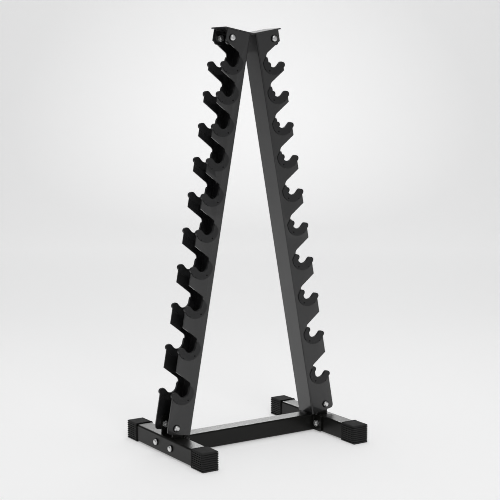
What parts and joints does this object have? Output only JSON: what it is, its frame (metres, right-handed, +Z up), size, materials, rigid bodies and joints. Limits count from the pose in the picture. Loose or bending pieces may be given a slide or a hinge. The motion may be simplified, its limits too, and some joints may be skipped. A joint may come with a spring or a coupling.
{
  "type": "dumbbell rack",
  "caption": "A-frame dumbbell rack: two leaning notched steel channels with saddle-lined hooks on both flanges, bolted to an H-shaped tube base with rubber end caps.",
  "frame": {"origin": "on the floor, under the middle of the rack", "axes": "+Z up, X along the crossbar from the left upright to the right one, Y from the front flanges to the rear flanges along the feet"},
  "size_m": [0.5816, 0.436, 1.2105],
  "materials": {
    "upright_steel": "satin black powder coat with a fine grain",
    "base_steel": "satin black powder coat with a fine grain",
    "saddle_nylon": "moulded black nylon, matt",
    "cap_rubber": "ribbed matt black rubber",
    "zinc_fasteners": "bright zinc plate"
  },
  "bodies": {
    "root": {"crossbar": "base_steel", "left_crossbar_bolts": "zinc_fasteners", "left_foot": "base_steel", "left_front_base_bolt": "zinc_fasteners", "left_front_foot_cap": "cap_rubber", "left_front_saddle_01": "saddle_nylon", "left_front_saddle_02": "saddle_nylon", "left_front_saddle_03": "saddle_nylon", "left_front_saddle_04": "saddle_nylon", "left_front_saddle_05": "saddle_nylon", "left_front_saddle_06": "saddle_nylon", "left_front_saddle_07": "saddle_nylon", "left_front_saddle_08": "saddle_nylon", "left_front_saddle_09": "saddle_nylon", "left_front_saddle_10": "saddle_nylon", "left_front_top_bolt": "zinc_fasteners", "left_rear_base_bolt": "zinc_fasteners", "left_rear_foot_cap": "cap_rubber", "left_rear_saddle_01": "saddle_nylon", "left_rear_saddle_02": "saddle_nylon", "left_rear_saddle_03": "saddle_nylon", "left_rear_saddle_04": "saddle_nylon", "left_rear_saddle_05": "saddle_nylon", "left_rear_saddle_06": "saddle_nylon", "left_rear_saddle_07": "saddle_nylon", "left_rear_saddle_08": "saddle_nylon", "left_rear_saddle_09": "saddle_nylon", "left_rear_saddle_10": "saddle_nylon", "left_rear_top_bolt": "zinc_fasteners", "left_upright": "upright_steel", "right_crossbar_bolts": "zinc_fasteners", "right_foot": "base_steel", "right_front_base_bolt": "zinc_fasteners", "right_front_foot_cap": "cap_rubber", "right_front_saddle_01": "saddle_nylon", "right_front_saddle_02": "saddle_nylon", "right_front_saddle_03": "saddle_nylon", "right_front_saddle_04": "saddle_nylon", "right_front_saddle_05": "saddle_nylon", "right_front_saddle_06": "saddle_nylon", "right_front_saddle_07": "saddle_nylon", "right_front_saddle_08": "saddle_nylon", "right_front_saddle_09": "saddle_nylon", "right_front_saddle_10": "saddle_nylon", "right_front_top_bolt": "zinc_fasteners", "right_rear_base_bolt": "zinc_fasteners", "right_rear_foot_cap": "cap_rubber", "right_rear_saddle_01": "saddle_nylon", "right_rear_saddle_02": "saddle_nylon", "right_rear_saddle_03": "saddle_nylon", "right_rear_saddle_04": "saddle_nylon", "right_rear_saddle_05": "saddle_nylon", "right_rear_saddle_06": "saddle_nylon", "right_rear_saddle_07": "saddle_nylon", "right_rear_saddle_08": "saddle_nylon", "right_rear_saddle_09": "saddle_nylon", "right_rear_saddle_10": "saddle_nylon", "right_rear_top_bolt": "zinc_fasteners", "right_upright": "upright_steel", "top_bracket": "base_steel"}
  },
  "joints": []
}
